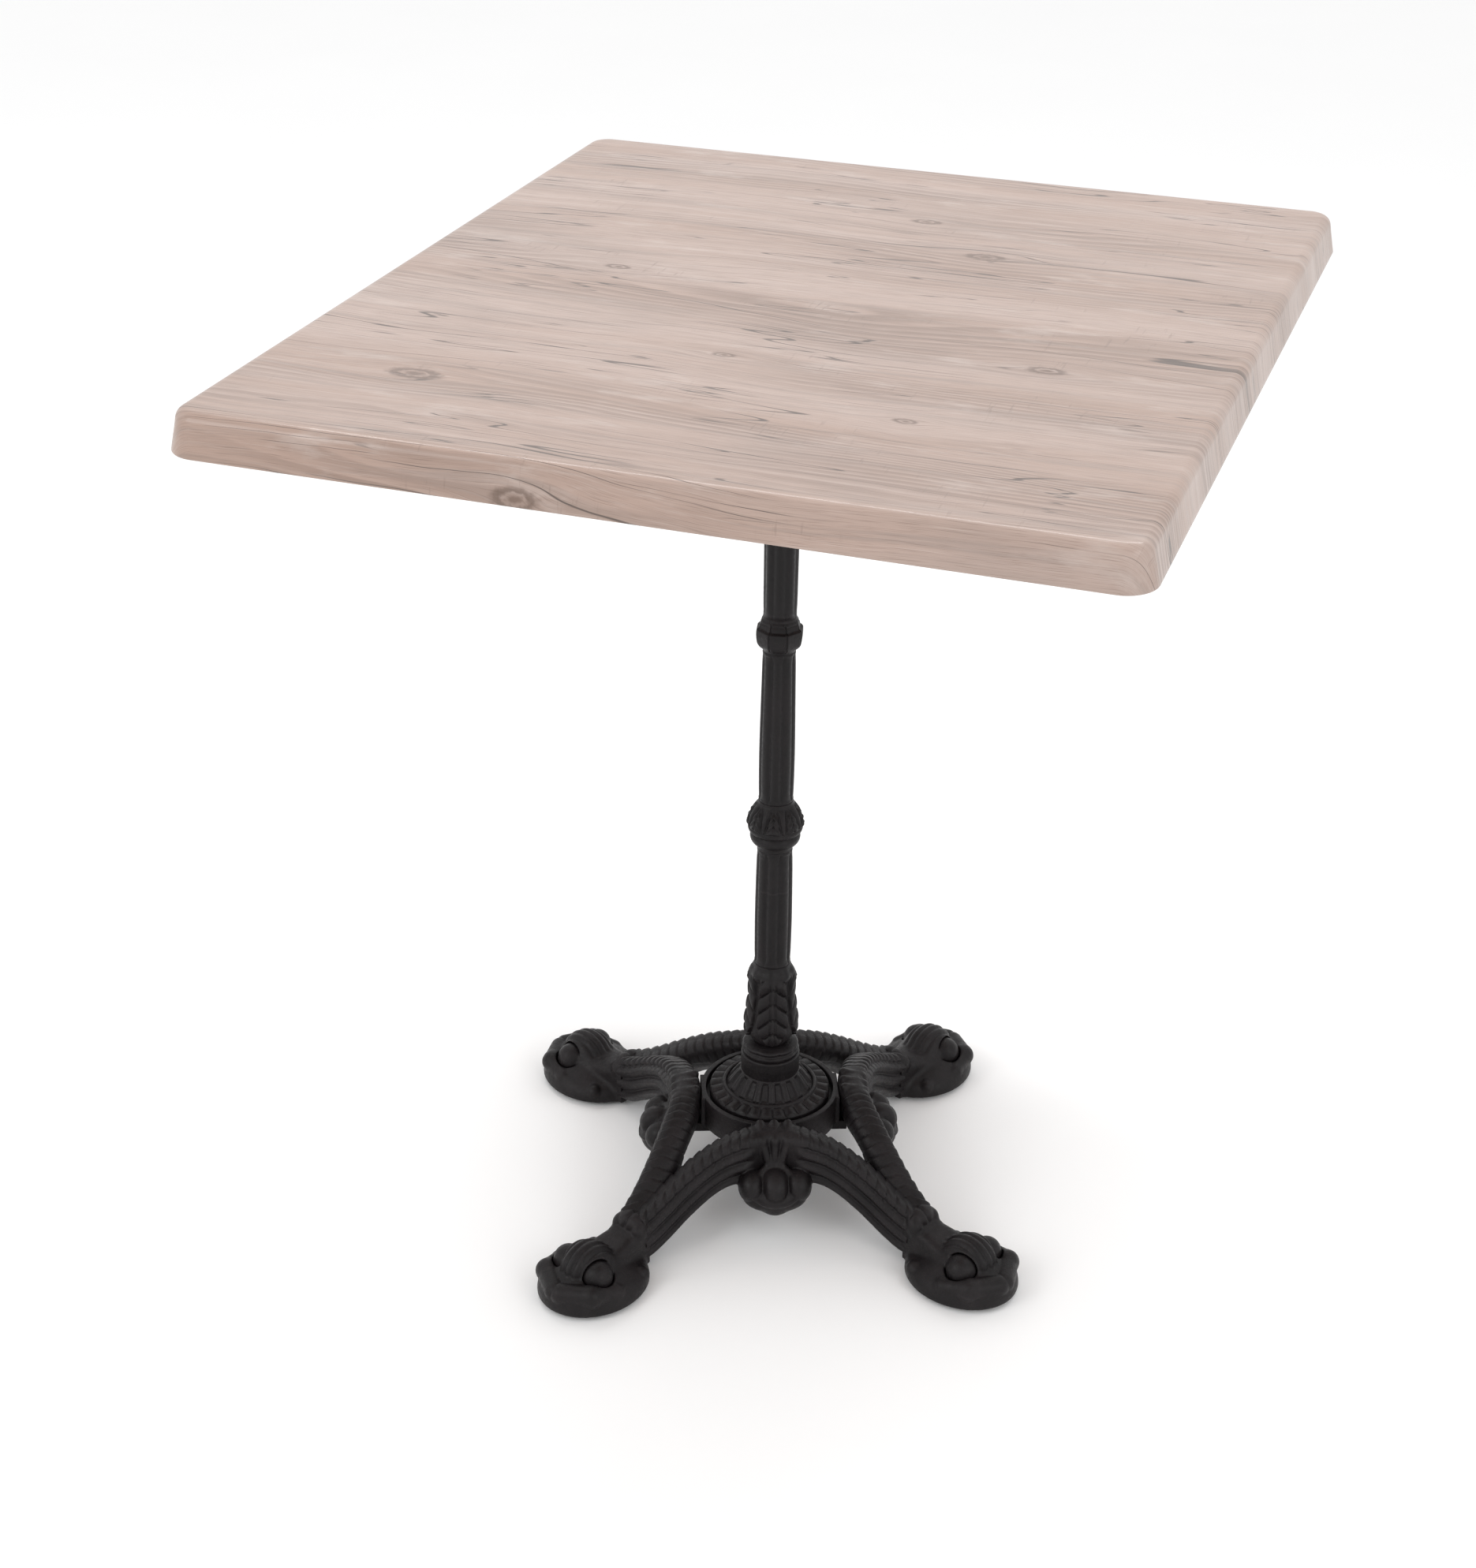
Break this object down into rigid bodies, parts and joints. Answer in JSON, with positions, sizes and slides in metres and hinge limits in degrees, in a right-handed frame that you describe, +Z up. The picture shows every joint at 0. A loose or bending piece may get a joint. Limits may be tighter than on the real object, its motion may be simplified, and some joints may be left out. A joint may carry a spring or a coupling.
{
  "type": "bistro table",
  "caption": "Rectangular moulded wood-decor bistro table on an ornate black cast-iron pedestal with bowed arches, paw feet and screw-adjusted levelling glides.",
  "frame": {"origin": "on the floor, under the middle of the tabletop", "axes": "+Z up, X along the 600 mm side, Y along the 700 mm side with -Y towards the front"},
  "size_m": [0.5996, 0.6996, 0.715],
  "materials": {
    "tabletop": "satin printed pine decor on moulded board",
    "black_iron": "satin black paint on sand-cast iron",
    "black_tube": "satin black paint on steel tube",
    "zinc_steel": "zinc-plated",
    "glide_plastic": "moulded nylon"
  },
  "bodies": {
    "table": {"tabletop": "tabletop", "top_spider": "black_iron", "high_collar": "black_iron", "high_shaft": "black_iron", "mid_collar": "black_iron", "low_shaft": "black_iron", "leaf_vase": "black_iron", "neck_ring": "black_iron", "plain_band": "black_iron", "rosette": "black_iron", "hub": "black_iron", "front_arch": "black_iron", "right_arch": "black_iron", "back_arch": "black_iron", "left_arch": "black_iron", "front_left_paw": "black_iron", "front_right_paw": "black_iron", "back_right_paw": "black_iron", "back_left_paw": "black_iron", "top_tube": "black_tube", "tie_rod": "zinc_steel", "rod_top_nut": "zinc_steel", "rod_top_washer": "zinc_steel", "rod_bottom_nut": "zinc_steel", "rod_bottom_washer": "zinc_steel", "spider_screws": "zinc_steel", "hub_bolts": "zinc_steel", "hub_washers": "zinc_steel"},
    "front_left_pad": {"front_left_glide_pad": "glide_plastic"},
    "front_left_stem": {"front_left_glide_stem": "zinc_steel"},
    "front_right_pad": {"front_right_glide_pad": "glide_plastic"},
    "front_right_stem": {"front_right_glide_stem": "zinc_steel"},
    "back_right_pad": {"back_right_glide_pad": "glide_plastic"},
    "back_right_stem": {"back_right_glide_stem": "zinc_steel"},
    "back_left_pad": {"back_left_glide_pad": "glide_plastic"},
    "back_left_stem": {"back_left_glide_stem": "zinc_steel"}
  },
  "joints": [
    {"name": "front_left_glide_lift", "type": "slide", "parent": "table", "child": "front_left_pad", "axis": [0, 0, -1], "range_m": [-0.00125, 0.005]},
    {"name": "front_left_glide_turn", "type": "hinge", "parent": "front_left_pad", "child": "front_left_stem", "pos_m": [-0.09434, -0.18668, 0], "axis": [0, 0, -1], "range_deg": [-361, 1441]},
    {"name": "front_right_glide_lift", "type": "slide", "parent": "table", "child": "front_right_pad", "axis": [0, 0, -1], "range_m": [-0.00125, 0.005]},
    {"name": "front_right_glide_turn", "type": "hinge", "parent": "front_right_pad", "child": "front_right_stem", "pos_m": [0.16058, -0.08524, 0], "axis": [0, 0, -1], "range_deg": [-361, 1441]},
    {"name": "back_right_glide_lift", "type": "slide", "parent": "table", "child": "back_right_pad", "axis": [0, 0, -1], "range_m": [-0.00125, 0.005]},
    {"name": "back_right_glide_turn", "type": "hinge", "parent": "back_right_pad", "child": "back_right_stem", "pos_m": [0.05914, 0.16968, 0], "axis": [0, 0, -1], "range_deg": [-361, 1441]},
    {"name": "back_left_glide_lift", "type": "slide", "parent": "table", "child": "back_left_pad", "axis": [0, 0, -1], "range_m": [-0.00125, 0.005]},
    {"name": "back_left_glide_turn", "type": "hinge", "parent": "back_left_pad", "child": "back_left_stem", "pos_m": [-0.19578, 0.06824, 0], "axis": [0, 0, -1], "range_deg": [-361, 1441]}
  ],
  "couplings": [
    {"joint": "front_left_glide_turn", "follows": "front_left_glide_lift", "rad_per_m": 5026.5},
    {"joint": "front_right_glide_turn", "follows": "front_right_glide_lift", "rad_per_m": 5026.5},
    {"joint": "back_right_glide_turn", "follows": "back_right_glide_lift", "rad_per_m": 5026.5},
    {"joint": "back_left_glide_turn", "follows": "back_left_glide_lift", "rad_per_m": 5026.5}
  ]
}
